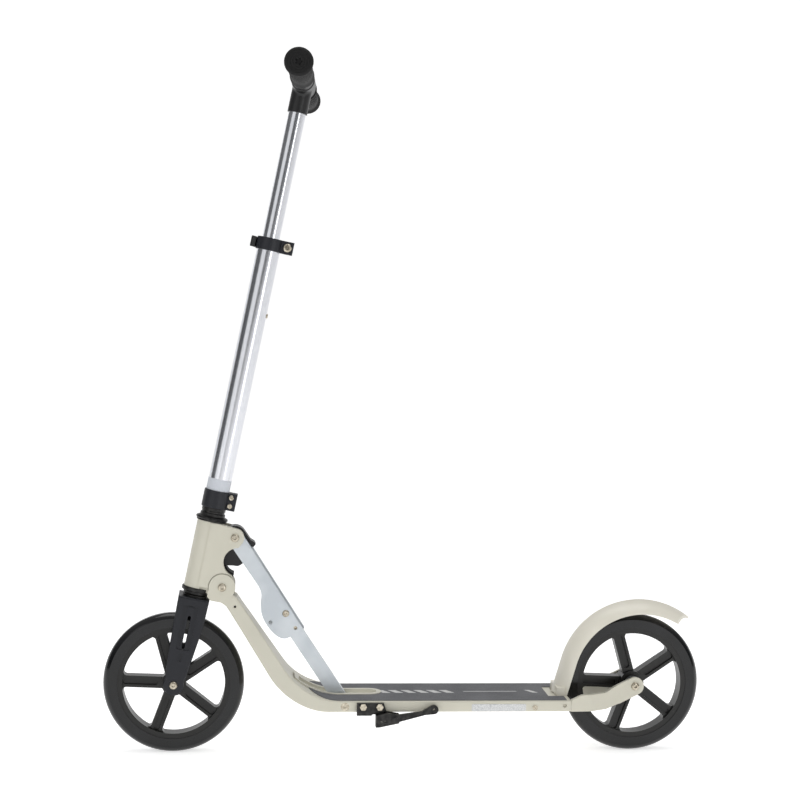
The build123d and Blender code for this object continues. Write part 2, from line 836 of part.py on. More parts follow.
# ==== head ====
with BuildPart() as head_shell:
    for end in (-1, 1):
        with BuildSketch(column_side.offset(end * cheek_inner)):
            with BuildSketch(mode=Mode.PRIVATE) as high_cheek:
                with Locations((4, (head_bottom + head_top) / 2)):
                    Rectangle(8, head_top - head_bottom)
                with Locations((strut_pivot_out, strut_pivot_up)):
                    Circle(cheek_high_radius)
                make_hull()
            with BuildSketch(mode=Mode.PRIVATE) as low_cheek:
                with Locations((4, (head_bottom + head_top) / 2)):
                    Rectangle(8, head_top - head_bottom)
                with Locations((fold_pivot_out, fold_pivot_up)):
                    Circle(cheek_low_radius)
                make_hull()
            add(high_cheek.sketch)
            add(low_cheek.sketch)
            with Locations((notch_out, notch_up)):
                Circle(notch_radius, mode=Mode.SUBTRACT)
        extrude(amount=end * (cheek_outer - cheek_inner))
    fillet(head_shell.edges().filter_by(lambda e: abs(abs(e.center().Y) - cheek_outer) < 0.01
           and column.to_local_coords(e.center()).X > 8), radius=2)
    extrude(disc(column.offset(head_bottom), head_radius), amount=head_top - head_bottom)
    # the cheeks step in where the frame's ears pass outside them
    for end in (-1, 1):
        with BuildSketch(column_side.offset(end * ear_recess_outer)):
            with Locations((fold_pivot_out, fold_pivot_up)):
                Circle(ear_radius + ear_gap)
            with Locations((fold_pivot_out - 12, fold_pivot_up - 22)):
                Rectangle(40, 34)
        extrude(amount=end * 20, mode=Mode.SUBTRACT)
    extrude(disc(column.offset(head_bottom - 1), cup_radius), amount=head_top - head_bottom + 2,
            mode=Mode.SUBTRACT)
    extrude(disc(column.offset(head_bottom), lower_flange_radius), amount=-lower_flange_height - 20,
            mode=Mode.SUBTRACT)
    for place, radius in ((fold_pivot, pivot_radius + running), (strut_pivot, pivot_radius)):
        extrude(disc(Plane(origin=place, z_dir=(0, -1, 0)), radius), amount=60, both=True,
                mode=Mode.SUBTRACT)
finish(head_shell.part, "head_shell")

with BuildPart() as head_buffer:
    with BuildSketch(column_side):
        with Locations((notch_out, notch_up)):
            Circle(notch_radius + 5)
            Circle(notch_radius - 3, mode=Mode.SUBTRACT)
        with BuildLine():
            Polyline(
                (notch_out, notch_up),
                (notch_out - 60, notch_up - 38),
                (notch_out - 7, notch_up - 60),
                (notch_out, notch_up),
            )
        make_face(mode=Mode.INTERSECT)
    extrude(amount=cheek_inner, both=True)
finish(head_buffer.part, "head_buffer")

finish(cross_bolt(strut_pivot, pivot_radius, cheek_outer, axle_head_radius, 3), "strut_bolt")

# ==== strut ====
end_along = knee_distance + strut_overrun


def cheek_outline(plane):
    """Side view of the upper strut: a straight channel that grows a round plate below the knee."""
    with BuildSketch(plane) as outline:
        with BuildLine():
            Polyline((0, -strut_depth_below), (knee_distance - 59, -strut_depth_below + 1))
            Spline(
                (knee_distance - 59, -strut_depth_below + 1),
                (knee_distance - 24, -27.5),
                (knee_distance + 6, -32),
                (end_along - 1, -15),
                tangents=((1, 0), (0.1, 1)),
            )
            Polyline(
                (end_along - 1, -15),
                (end_along, strut_top_at_end),
                (0, strut_top_at_pivot),
                (0, -strut_depth_below),
            )
        make_face()
        Circle(strut_depth_below)
    return outline.sketch


with BuildPart() as strut_upper:
    extrude(cheek_outline(strut_side), amount=strut_half_width, both=True)
    fillet(strut_upper.edges().filter_by(lambda e: abs(abs(e.center().Y) - strut_half_width) < 0.01
           and strut_side.to_local_coords(e.center()).Y > 2 and e.length > 100),
           radius=4.5)
    # inside of the channel, open below and at both ends
    with BuildSketch(strut_side):
        with BuildLine():
            Polyline(
                (-30, strut_top_at_pivot + 8),
                (1.5, strut_top_at_pivot + 8),
                (1.5, strut_top_at_pivot - strut_wall),
                (end_along + 10, strut_top_at_end - strut_wall),
                (end_along + 10, -60),
                (-30, -60),
                (-30, strut_top_at_pivot + 8),
            )
        make_face()
    extrude(amount=strut_half_width - strut_wall, both=True, mode=Mode.SUBTRACT)
    with BuildSketch(strut_side):
        Circle(pivot_radius + running)
        with Locations((knee_distance, 0)):
            Circle(pivot_radius)
    extrude(amount=40, both=True, mode=Mode.SUBTRACT)
    with BuildSketch(strut_side):
        with Locations((lock_along, 0), (knee_distance - 1.5, -lock_distance)):
            Circle(lock_hole_radius)
    extrude(amount=40, mode=Mode.SUBTRACT)
finish(strut_upper.part, "strut_upper")

knee_pivot = strut_side.from_local_coords(Vector(knee_distance, 0, 0))
finish(cross_bolt(knee_pivot, pivot_radius, strut_half_width, 5.2, 1.6), "knee_bolt")

with BuildPart() as strut_lower:
    with BuildSketch(strut_side):
        with Locations((knee_distance, 0)):
            Circle(boss_radius)
        with Locations((strut_length, 0)):
            Circle(foot_radius)
        with BuildLine():
            Polyline(
                (knee_distance, bar_top),
                (strut_length - 8, bar_top),
                (strut_length, foot_radius),
                (strut_length, -foot_radius),
                (strut_length - 18, -bar_below),
                (knee_distance + 16, -bar_below),
                (knee_distance, -boss_radius),
                (knee_distance, bar_top),
            )
        make_face()
    extrude(amount=strut_bar_half_width, both=True)
    # long hollow up the underside of the bar
    with BuildSketch(strut_side):
        with Locations(((lock_along + 8 + strut_length - 14) / 2, -bar_below / 2 - 3)):
            Rectangle(strut_length - 22 - lock_along, bar_below + 1)
    extrude(amount=strut_bar_half_width - 2.2, both=True, mode=Mode.SUBTRACT)
    with BuildSketch(strut_side):
        with Locations((knee_distance, 0)):
            Circle(pivot_radius + running)
        with Locations((strut_length, 0)):
            Circle(pivot_radius + 0.2)
    extrude(amount=40, both=True, mode=Mode.SUBTRACT)
    with BuildSketch(strut_side.offset(-4)):
        with Locations((lock_along, 0)):
            Circle(lock_pin_radius + running)
    extrude(amount=20, mode=Mode.SUBTRACT)
finish(strut_lower.part, "strut_lower")

with BuildPart() as lock_pin:
    with BuildSketch(strut_side.offset(1.5)):
        with Locations((lock_along, 0)):
            Circle(lock_pin_radius)
    extrude(amount=strut_bar_half_width - 1.5)
    with BuildSketch(strut_side.offset(strut_bar_half_width)):
        with Locations((lock_along, 0)):
            Circle(1.5)
    extrude(amount=-2, mode=Mode.SUBTRACT)
finish(lock_pin.part, "lock_pin")

# release lever: hub and finger lobe inside the channel, saddle and thumb pad over it
saddle_low = strut_top_at_pivot + 0.4
with BuildPart() as release_lever:
    with BuildSketch(strut_side):
        with BuildLine():
            Polyline((-9, 3), (-5, -10), (3, -21), (14, -34.5))
            Spline((14, -34.5), (24, -36), (34, -25), (38, -8), tangents=((0.7, -0.4), (-0.2, 1)))
            Polyline((38, -8), (8, 0), (0, 8.5), (-1, saddle_low + 1), (-9, saddle_low - 2),
                     (-9, 3))
        make_face()
        Circle(8.5)
        Circle(pivot_radius + running, mode=Mode.SUBTRACT)
    extrude(amount=strut_half_width - strut_wall - side_gap, both=True)
    with BuildSketch(strut_side):
        with BuildLine():
            Polyline(
                (0, saddle_low),
                (26, saddle_low - 0.4),
                (27, saddle_low + 1),
                (25.5, saddle_low + 5.4),
                (22, saddle_low + 5.6),
                (16, saddle_low + 2.8),
                (0, saddle_low + 2.6),
            )
            ThreePointArc((0, saddle_low + 2.6), (-11.2, 12), (-16, 3))
            Line((-16, 3), (-12.6, 3))
            ThreePointArc((-12.6, 3), (-9.6, 9.8), (0, saddle_low))
        make_face()
    extrude(amount=strut_half_width - 0.2, both=True)
finish(release_lever.part, "release_lever")

# ==== column ====
with BuildPart() as steerer_sleeve:
    extrude(disc(column.offset(foot_clamp_bottom), lower_tube_bore, steerer_radius),
            amount=steerer_top - foot_clamp_bottom - 10)
finish(steerer_sleeve.part, "steerer_sleeve")

with BuildPart() as lower_tube:
    extrude(disc(column.offset(foot_clamp_bottom), lower_tube_radius, lower_tube_bore),
            amount=lower_tube_top - foot_clamp_bottom)
    # slits that let the clamps squeeze the tube
    for start, length in ((foot_clamp_bottom - 1, foot_clamp_height),
                          (lower_tube_top - 30, 31)):
        with BuildSketch(column.offset(start)):
            with Locations((lower_tube_radius, 0)):
                Rectangle(2 * (lower_tube_radius - lower_tube_bore) + 4, slot_width)
        extrude(amount=length, mode=Mode.SUBTRACT)
    with BuildSketch(Plane(origin=column_foot + along * button_up, x_dir=(0, 1, 0), z_dir=across)):
        Circle(button_radius + running)
    extrude(amount=30, mode=Mode.SUBTRACT)
finish(lower_tube.part, "lower_tube")

with BuildPart() as tube_band:
    extrude(
        disc(column.offset(foot_clamp_bottom + foot_clamp_height + 0.2), lower_tube_radius + band_wall,
             lower_tube_radius),
        amount=band_height,
    )
finish(tube_band.part, "tube_band")


def make_clamp(bottom, height, reach, ear_half, bolt_out, bolt_levels, bolt_radius):
    """A split collar with two ears behind the tube, drilled across for its bolts."""
    outer = lower_tube_radius + clamp_wall
    ear_reach = lower_tube_radius + reach
    with BuildPart() as clamp:
        with BuildSketch(column.offset(bottom)):
            Circle(outer)
            with Locations(((ear_reach + 8) / 2, 0)):
                RectangleRounded(ear_reach - 8, 2 * ear_half, 2)
            Circle(lower_tube_radius, mode=Mode.SUBTRACT)
            with Locations((ear_reach / 2 + 8, 0)):
                Rectangle(ear_reach, slot_width, mode=Mode.SUBTRACT)
        extrude(amount=height)
        fillet(clamp.edges().filter_by(GeomType.CIRCLE).group_by(SortBy.RADIUS)[-1], radius=0.8)
        for level in bolt_levels:
            with BuildSketch(column_side):
                with Locations((bolt_out, level)):
                    Circle(bolt_radius)
            extrude(amount=30, both=True, mode=Mode.SUBTRACT)
    return clamp.part


foot_bolt_out = lower_tube_radius + 4.4
foot_bolt_levels = (foot_clamp_bottom + 6.5, foot_clamp_bottom + 19)
finish(
    make_clamp(foot_clamp_bottom, foot_clamp_height, foot_clamp_reach, 9, foot_bolt_out,
               foot_bolt_levels, 2.5),
    "foot_clamp",
)
with BuildPart() as foot_clamp_bolts:
    for level in foot_bolt_levels:
        place = column_side.from_local_coords(Vector(foot_bolt_out, level, 0))
        add(cross_bolt(place, 2.5, 9, 3.9, 2.2))
finish(foot_clamp_bolts.part, "foot_clamp_bolts")

stud_out = lower_tube_radius + 9
stud_level = height_clamp_bottom + height_clamp_height / 2
ear_half = 10
finish(
    make_clamp(height_clamp_bottom, height_clamp_height, height_clamp_reach, ear_half, stud_out,
               (stud_level,), 3),
    "height_clamp",
)

# quick-release stud: a domed nut on the left, and the lever's cross pin on the right
lever_pivot_side = ear_half + 5.6
lever_height = height_clamp_height - 3
cross_pin_radius = 2.2
stud_end = lever_pivot_side + 3.2
with BuildPart() as clamp_stud:
    stud = column_side.from_local_coords(Vector(stud_out, stud_level, 0))
    with BuildSketch(radial_plane(stud, 0)):
        with BuildLine():
            Polyline((0, stud_end), (0, -ear_half - 4), (4, -ear_half - 4))
            ThreePointArc((4, -ear_half - 4), (5.6, -ear_half - 3), (6.2, -ear_half))
            Polyline((6.2, -ear_half), (3, -ear_half), (3, stud_end), (0, stud_end))
        make_face()
    revolve(axis=Axis(stud, (0, 1, 0)))
    with BuildSketch(Plane(origin=stud + Vector(0, -ear_half - 4, 0), z_dir=(0, 1, 0))):
        RegularPolygon(radius=2.6, side_count=6)
    extrude(amount=2.8, mode=Mode.SUBTRACT)
    with BuildSketch(column.offset(height_clamp_bottom + 1.5)):
        with Locations((stud_out, lever_pivot_side)):
            Circle(cross_pin_radius)
    extrude(amount=lever_height)
finish(clamp_stud.part, "clamp_stud")

# cam lever: it turns on a pin along the column and wraps round to the front of the tube
lever_pivot_out = stud_out
lever_inner = lower_tube_radius + clamp_wall + 1.4
lever_outer = lever_inner + 4
with BuildPart() as clamp_lever:
    with BuildSketch(column.offset(height_clamp_bottom + 1.5)):
        with Locations((lever_pivot_out, lever_pivot_side)):
            Circle(5)
        with BuildLine():
            Polyline(
                (lever_pivot_out + 3, lever_pivot_side + 4),
                (8, lever_outer + 0.6),
            )
            lever_back = Vector(lever_outer + 1.3, 0).rotate(Axis.Z, 128)
            ThreePointArc((8, lever_outer + 0.6), lever_back, (-lever_outer, 6))
            Polyline(
                (-lever_outer, 6),
                (-lever_outer - 3.2, -1),
                (-lever_outer - 1, -4),
                (-lever_inner, -3),
                (-lever_inner, 4),
            )
            lever_hollow = Vector(lever_inner + 0.2, 0).rotate(Axis.Z, 129.2)
            ThreePointArc((-lever_inner, 4), lever_hollow, (7, lever_inner - 1.2))
            Polyline(
                (7, lever_inner - 1.2),
                (lever_pivot_out - 3, lever_pivot_side - 3.8),
                (lever_pivot_out + 3, lever_pivot_side + 4),
            )
        make_face()
    extrude(amount=lever_height)
    fillet(clamp_lever.edges().filter_by(
        lambda e: e.length > 6 and column.to_local_coords(e.center()).X < 8
        and abs(abs(column.to_local_coords(e.center()).Z - stud_level)
                - lever_height / 2) < 0.01), radius=1)
    # round room for the stud, which stays still as the lever turns, and a bore for its cross pin
    with BuildSketch(column.offset(stud_level - 3.5)):
        with Locations((lever_pivot_out, lever_pivot_side)):
            Circle(6.9)
    extrude(amount=7, mode=Mode.SUBTRACT)
    with BuildSketch(column.offset(height_clamp_bottom)):
        with Locations((lever_pivot_out, lever_pivot_side)):
            Circle(cross_pin_radius + running)
    extrude(amount=30, mode=Mode.SUBTRACT)
finish(clamp_lever.part, "clamp_lever")

with BuildPart() as tube_bush:
    extrude(
        disc(column.offset(lower_tube_top - bush_height), lower_tube_bore,
             upper_tube_radius + running),
        amount=bush_height,
    )
finish(tube_bush.part, "tube_bush")

with BuildPart() as height_button:
    with BuildSketch(Plane(origin=column_foot + along * button_up + across * (lower_tube_bore + 0.1),
                           x_dir=(0, 1, 0), z_dir=across)):
        Circle(button_radius)
    extrude(amount=lower_tube_radius + button_stand - lower_tube_bore - 0.1)
    fillet(height_button.edges().filter_by(GeomType.CIRCLE).sort_by(Axis(column_foot, across))[-1],
           radius=1.2)
finish(height_button.part, "height_button")

# ==== handlebar ====
bar_centre = column_foot + along * bar_height
tee_sleeve_bottom = bar_height - tee_sleeve_length
with BuildPart() as upper_tube:
    extrude(
        disc(column.offset(upper_tube_bottom), upper_tube_radius, upper_tube_radius - upper_tube_wall),
        amount=bar_height - bar_radius - 3 - upper_tube_bottom,
    )
finish(upper_tube.part, "upper_tube")

with BuildPart() as tee_piece:
    extrude(disc(column.offset(tee_sleeve_bottom), tee_sleeve_radius), amount=bar_height - tee_sleeve_bottom)
    with BuildSketch(Plane(origin=bar_centre, z_dir=(0, -1, 0))):
        Circle(tee_barrel_radius)
    extrude(amount=tee_half_width, both=True)
    fillet(tee_piece.edges().filter_by(
        lambda e: abs(e.center().Y) < tee_half_width - 5
        and column.to_local_coords(e.center()).Z > tee_sleeve_bottom + 5), radius=5)
    fillet(tee_piece.edges().filter_by(GeomType.CIRCLE).filter_by(
        lambda e: abs(abs(e.center().Y) - tee_half_width) < 0.01), radius=1.5)
    extrude(disc(column.offset(tee_sleeve_bottom - 1), upper_tube_radius),
            amount=bar_height - bar_radius - 3 - tee_sleeve_bottom + 1, mode=Mode.SUBTRACT)
    extrude(disc(Plane(origin=bar_centre, z_dir=(0, -1, 0)), bar_radius), amount=tee_half_width + 5,
            both=True, mode=Mode.SUBTRACT)
finish(tee_piece.part.rotate(column_axis, bar_turn), "tee_piece")

with BuildPart() as handlebar:
    extrude(disc(Plane(origin=bar_centre, z_dir=(0, -1, 0)), bar_radius, bar_radius - bar_wall),
            amount=bar_half_width - 6, both=True)
finish(handlebar.part.rotate(column_axis, bar_turn), "handlebar")

with BuildPart() as bar_sleeves:
    for end in (-1, 1):
        start = Plane(origin=bar_centre + Vector(0, end * tee_half_width, 0), z_dir=(0, end, 0))
        extrude(disc(start, bar_sleeve_radius, bar_radius), amount=grip_start - tee_half_width)
finish(bar_sleeves.part.rotate(column_axis, bar_turn), "bar_sleeves")

for hand, name in ((-1, "left_grip"), (1, "right_grip")):
    with BuildPart() as grip:
        start = hand * grip_start
        stop = hand * bar_half_width
        with BuildSketch(radial_plane(bar_centre, 0)):
            with BuildLine():
                Polyline((0, stop - hand * 5.5), (0, stop), (grip_end_radius - 5, stop))
                ThreePointArc(
                    (grip_end_radius - 5, stop),
                    (grip_end_radius, stop - hand * 4),
                    (grip_end_radius - 3, stop - hand * 9),
                )
                Spline(
                    (grip_end_radius - 3, stop - hand * 9),
                    (grip_radius, stop - hand * 22),
                    (grip_radius + 1.3, (start + stop) / 2),
                    (grip_radius, start + hand * 14),
                )
                Polyline(
                    (grip_radius, start + hand * 14),
                    (grip_neck_radius, start + hand * 7),
                    (grip_neck_radius, start),
                    (bar_radius, start),
                    (bar_radius, stop - hand * 5.5),
                    (0, stop - hand * 5.5),
                )
            make_face()
        revolve(axis=Axis(bar_centre, (0, 1, 0)))
        with BuildSketch(Plane(origin=bar_centre + Vector(0, stop, 0), z_dir=(0, -hand, 0))):
            Circle(4.2)
        extrude(amount=3, mode=Mode.SUBTRACT)
    finish(grip.part.rotate(column_axis, bar_turn), name)

# ==== fender ====
fender_centre = Vector(fender_centre_x, 0, fender_centre_z)
with BuildPart() as brake_fender:
    with BuildSketch(radial_plane(fender_centre, fender_foot_angle)) as fender_section:
        drop = fender_ridge_radius - fender_edge_radius
        with BuildLine():
            roof = Spline(
                (fender_edge_radius, -fender_half_width),
                (fender_ridge_radius - drop * 0.42, -fender_half_width * 0.7),
                (fender_ridge_radius - drop * 0.07, -fender_half_width * 0.25),
                (fender_ridge_radius, 0),
                (fender_ridge_radius - drop * 0.07, fender_half_width * 0.25),
                (fender_ridge_radius - drop * 0.42, fender_half_width * 0.7),
                (fender_edge_radius, fender_half_width),
            )
            ceiling = Spline(
                (fender_edge_radius, -fender_half_width + fender_wall),
                (fender_ridge_radius - fender_wall - drop * 0.42, -fender_half_width * 0.7 + 1.6),
                (fender_ridge_radius - fender_wall - drop * 0.07, -fender_half_width * 0.25),
                (fender_ridge_radius - fender_wall, 0),
                (fender_ridge_radius - fender_wall - drop * 0.07, fender_half_width * 0.25),
                (fender_ridge_radius - fender_wall - drop * 0.42, fender_half_width * 0.7 - 1.6),
                (fender_edge_radius, fender_half_width - fender_wall),
            )
            Line(roof @ 0, ceiling @ 0)
            Line(roof @ 1, ceiling @ 1)
        make_face()
    revolve(axis=Axis(fender_centre, (0, 1, 0)), revolution_arc=fender_foot_angle - fender_tip_angle)
    extrude(to_extrude=fender_section.sketch, amount=fender_foot_length)
    # the tail comes to a blunt point
    tip_x = fender_centre_x + fender_ridge_radius * cos(radians(fender_tip_angle))
    with BuildSketch(Plane.XY.offset(150)):
        with BuildLine():
            Polyline(
                (tip_x + 30, 0),
                (tip_x + 30, 40),
                (tip_x - 26, 40),
                (tip_x - 26, 29),
                (tip_x - 1, 0),
                (tip_x + 30, 0),
            )
        make_face()
        mirror(about=Plane.XZ)
    extrude(amount=120, mode=Mode.SUBTRACT)
    # the foot stands just clear of the deck, and its sides go down to the hinge barrel
    with BuildSketch(side):
        with Locations((wheel_cut_x - 39.3, deck_top - 30 + 1.8)):
            Rectangle(80, 60)
        with Locations((fender_pin_x, fender_pin_z - 5 - 30)):
            Rectangle(80, 60)
    extrude(amount=60, both=True, mode=Mode.SUBTRACT)
    with BuildSketch(side):
        with BuildLine():
            Polyline(
                (fender_pin_x - 6, fender_pin_z),
                (fender_pin_x - 6, deck_top + 12),
                (fender_pin_x + 6, deck_top + 12),
                (fender_pin_x + 6, fender_pin_z),
                (fender_pin_x - 6, fender_pin_z),
            )
        make_face()
        with Locations((fender_pin_x, fender_pin_z)):
            Circle(fender_barrel_radius)
    extrude(amount=fender_half_width - 0.5, both=True)
    with BuildSketch(side):
        with Locations((fender_pin_x, fender_pin_z)):
            Circle(fender_pin_radius + running)
    extrude(amount=60, both=True, mode=Mode.SUBTRACT)
    with BuildSketch(side):
        with Locations((fender_pin_x, fender_pin_z - 0.5)):
            Rectangle(14, 13.5)
    extrude(amount=fender_spring_half, both=True, mode=Mode.SUBTRACT)
finish(brake_fender.part, "brake_fender")

with BuildPart() as fender_pin:
    with BuildSketch(side):
        with Locations((fender_pin_x, fender_pin_z)):
            Circle(fender_pin_radius)
    extrude(amount=channel_inner - 0.5, both=True)
finish(fender_pin.part, "fender_pin")


def wound_spring(centre, bore, wire, turns):
    """A close-wound spring along Y, as a sleeve with one rounded rib for each turn."""
    half = turns * wire / 2
    with BuildPart() as spring:
        with BuildSketch(radial_plane(centre, 0)):
            with BuildLine():
                Polyline((bore + wire / 2, half), (bore, half), (bore, -half), (bore + wire / 2, -half))
                for turn in range(turns):
                    start = -half + turn * wire
                    ThreePointArc(
                        (bore + wire / 2, start),
                        (bore + wire, start + wire / 2),
                        (bore + wire / 2, start + wire),
                    )
            make_face()
        revolve(axis=Axis(centre, (0, 1, 0)))
    return spring.part


fender_pin_centre = Vector(fender_pin_x, 0, fender_pin_z)
finish(wound_spring(fender_pin_centre, fender_pin_radius, 2, 7), "fender_spring")

# ==== kickstand ====
stand_inner = deck_half_width
gap_inner = stand_inner + stand_plate - side_gap
gap_outer = gap_inner + stand_fork + 2 * side_gap
stand_outer = gap_outer + 4
leg_way = radians(stand_leg_rise)
toe_x = stand_pivot_x + stand_leg_length * cos(leg_way)
toe_z = stand_pivot_z + stand_leg_length * sin(leg_way)
with BuildPart() as kickstand_bracket:
    with BuildSketch(side.offset(stand_inner)):
        with BuildLine():
            Polyline(
                (stand_front_x, deck_top - 2),
                (stand_front_x, deck_bottom - 4),
                (stand_front_x + 21, deck_bottom - 4),
                (stand_front_x + 23, deck_bottom - 2),
                (stand_front_x + 27, deck_bottom - 2),
                (stand_front_x + 27, deck_bottom - 19),
                (stand_front_x + 32, deck_bottom - 19),
                (stand_pivot_x + 6, stand_pivot_z - 5),
                (stand_pivot_x + 6, stand_pivot_z + 7),
                (stand_front_x + 43, deck_bottom + 2),
                (stand_front_x + 39, deck_top - 2),
                (stand_front_x, deck_top - 2),
            )
        make_face()
    extrude(amount=stand_plate)
    with BuildSketch(side.offset(stand_inner)):
        with BuildLine():
            Polyline(
                (stand_front_x + 27, deck_bottom - 2),
                (stand_front_x + 27, deck_bottom - 19),
                (stand_front_x + 32, deck_bottom - 19),
                (stand_pivot_x + 6, stand_pivot_z - 5),
                (stand_pivot_x + 6, stand_pivot_z + 7),
                (stand_front_x + 43, deck_bottom + 2),
                (stand_front_x + 27, deck_bottom - 2),
            )
        make_face()
    extrude(amount=stand_outer - stand_inner)
    # gap for the leg, open below, behind and above it
    with BuildSketch(side.offset(gap_inner)):
        with Locations((stand_pivot_x, stand_pivot_z)):
            Rectangle(32, 60)
    extrude(amount=gap_outer - gap_inner, mode=Mode.SUBTRACT)
    with BuildSketch(side):
        with Locations((stand_bolt_front, stand_bolt_z), (stand_bolt_rear, stand_bolt_z),
                       (stand_pivot_x, stand_pivot_z)):
            Circle(stand_bolt_radius)
    extrude(amount=stand_outer + 5, mode=Mode.SUBTRACT)
    with BuildSketch(side):
        with Locations((stand_front_x + 35.5, deck_bottom - 11), (stand_front_x + 41, deck_bottom - 11)):
            Circle(1.8)
    extrude(amount=stand_outer + 5, mode=Mode.SUBTRACT)
finish(kickstand_bracket.part, "kickstand_bracket")

with BuildPart() as kickstand_bolts:
    for x in (stand_bolt_front, stand_bolt_rear):
        with BuildSketch(side.offset(deck_half_width - 8)):
            with Locations((x, stand_bolt_z)):
                Circle(stand_bolt_radius)
        extrude(amount=8 + stand_plate)
        with BuildSketch(side.offset(deck_half_width + stand_plate)):
            with Locations((x, stand_bolt_z)):
                RegularPolygon(radius=5.2, side_count=6)
        extrude(amount=4)
finish(kickstand_bolts.part, "kickstand_bolts")

with BuildPart() as kickstand_pin:
    with BuildSketch(side.offset(stand_inner + 0.5)):
        with Locations((stand_pivot_x, stand_pivot_z)):
            Circle(stand_bolt_radius)
    extrude(amount=stand_outer - stand_inner + 1)
    with BuildSketch(side.offset(stand_outer)):
        with Locations((stand_pivot_x, stand_pivot_z)):
            Circle(stand_bolt_radius + 1.4)
    extrude(amount=1.5)
finish(kickstand_pin.part, "kickstand_pin")

with BuildPart() as kickstand_leg:
    with BuildSketch(side.offset(gap_inner + side_gap)):
        with BuildSketch(side, mode=Mode.PRIVATE) as leg_body:
            with Locations((stand_pivot_x, stand_pivot_z)):
                Circle(stand_hub_radius)
            with Locations((toe_x - 16, toe_z - 5.5)):
                Circle(3)
            make_hull()
        with BuildSketch(side, mode=Mode.PRIVATE) as leg_toe:
            with Locations((toe_x - 14, toe_z - 4.4)):
                Circle(3.4)
            with Locations((toe_x, toe_z)):
                Circle(stand_toe_radius)
            make_hull()
        add(leg_body.sketch)
        add(leg_toe.sketch)
        with Locations((stand_pivot_x, stand_pivot_z)):
            Circle(stand_bolt_radius + running, mode=Mode.SUBTRACT)
        with Locations((toe_x, toe_z)):
            Circle(1.8, mode=Mode.SUBTRACT)
    extrude(amount=stand_fork)
finish(kickstand_leg.part, "kickstand_leg")
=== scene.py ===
import bpy
import bmesh
import math
from mathutils import Matrix, Vector


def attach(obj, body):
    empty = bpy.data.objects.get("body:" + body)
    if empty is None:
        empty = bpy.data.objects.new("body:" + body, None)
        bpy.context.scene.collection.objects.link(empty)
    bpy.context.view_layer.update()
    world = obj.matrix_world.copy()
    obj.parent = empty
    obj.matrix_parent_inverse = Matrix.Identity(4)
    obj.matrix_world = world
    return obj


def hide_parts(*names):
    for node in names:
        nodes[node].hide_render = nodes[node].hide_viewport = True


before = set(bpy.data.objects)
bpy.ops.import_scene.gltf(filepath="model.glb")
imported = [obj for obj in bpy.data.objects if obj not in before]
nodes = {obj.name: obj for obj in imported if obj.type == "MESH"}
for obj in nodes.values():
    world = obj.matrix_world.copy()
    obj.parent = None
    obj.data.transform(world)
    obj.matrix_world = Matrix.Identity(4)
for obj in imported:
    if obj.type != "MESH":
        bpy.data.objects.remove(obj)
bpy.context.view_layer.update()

MM = 0.001

# Sizes shared with the CAD frame, in metres
HEAD_TILT = math.radians(11)
WHEEL_RADIUS = 0.1025
HALF_WHEELBASE = 0.340
FRONT_AXLE = Vector((-HALF_WHEELBASE, 0, WHEEL_RADIUS))
FORK_RAKE = 0.005
COLUMN_FOOT = FRONT_AXLE + Vector((math.cos(HEAD_TILT), 0, -math.sin(HEAD_TILT))) * FORK_RAKE
COLUMN_UP = Vector((math.sin(HEAD_TILT), 0, math.cos(HEAD_TILT)))
BAR_HEIGHT = 0.894
BAR_CENTRE = COLUMN_FOOT + COLUMN_UP * BAR_HEIGHT
BAR_TURN = math.radians(-4.2)

# The grip's own sizes, in millimetres
GRIP_START = 62
GRIP_END = 195
BAR_RADIUS = 11.1
GRIP_RADIUS = 15.5
RIB_COUNT = 16
RIB_PITCH = 5

# The print on the grip tape: pitch in millimetres, the rest in metres
BAR_PITCH = 19
PRINT_SLANT = 0.6
PRINT_HALF_WIDTH = 0.009
RULE_HALF_WIDTH = 0.0016


# ---- materials ----
def paint_colour(code):
    """An sRGB hex colour as the linear colour that a shader takes."""
    parts = [int(code[i:i + 2], 16) / 255 for i in (1, 3, 5)]
    linear = [c / 12.92 if c <= 0.04045 else ((c + 0.055) / 1.055) ** 2.4 for c in parts]
    return (*linear, 1.0)


def add_node(tree, kind, settings=None, **inputs):
    """A shader node with its settings, and each input set to a value or linked to a socket."""
    node = tree.nodes.new(kind)
    for name, value in (settings or {}).items():
        setattr(node, name, value)
    for name, value in inputs.items():
        socket = node.inputs[int(name[1:])] if name[1:].isdigit() else node.inputs[name.replace("_", " ")]
        if isinstance(value, bpy.types.NodeSocket):
            tree.links.new(value, socket)
        else:
            socket.default_value = value
    return node


def begin_finish(name):
    """An empty node material, its node tree, and the surface's own position in metres."""
    material = bpy.data.materials.new(name)
    material.use_nodes = True
    tree = material.node_tree
    tree.nodes.clear()
    place = add_node(tree, "ShaderNodeTexCoord").outputs["Object"]
    return material, tree, place


def end_finish(tree, shader):
    add_node(tree, "ShaderNodeOutputMaterial", Surface=shader.outputs["BSDF"])


def blend_colours(tree, factor, low, high, low_stop=0.35, high_stop=0.65):
    """A colour ramp between two hex colours, driven by a pattern."""
    ramp = add_node(tree, "ShaderNodeValToRGB", Fac=factor)
    ramp.color_ramp.elements[0].position = low_stop
    ramp.color_ramp.elements[0].color = paint_colour(low)
    ramp.color_ramp.elements[1].position = high_stop
    ramp.color_ramp.elements[1].color = paint_colour(high)
    return ramp.outputs["Color"]


def per_metre(size_mm):
    """Texture scale at which one feature of a pattern measures this many millimetres."""
    return 1000 / size_mm


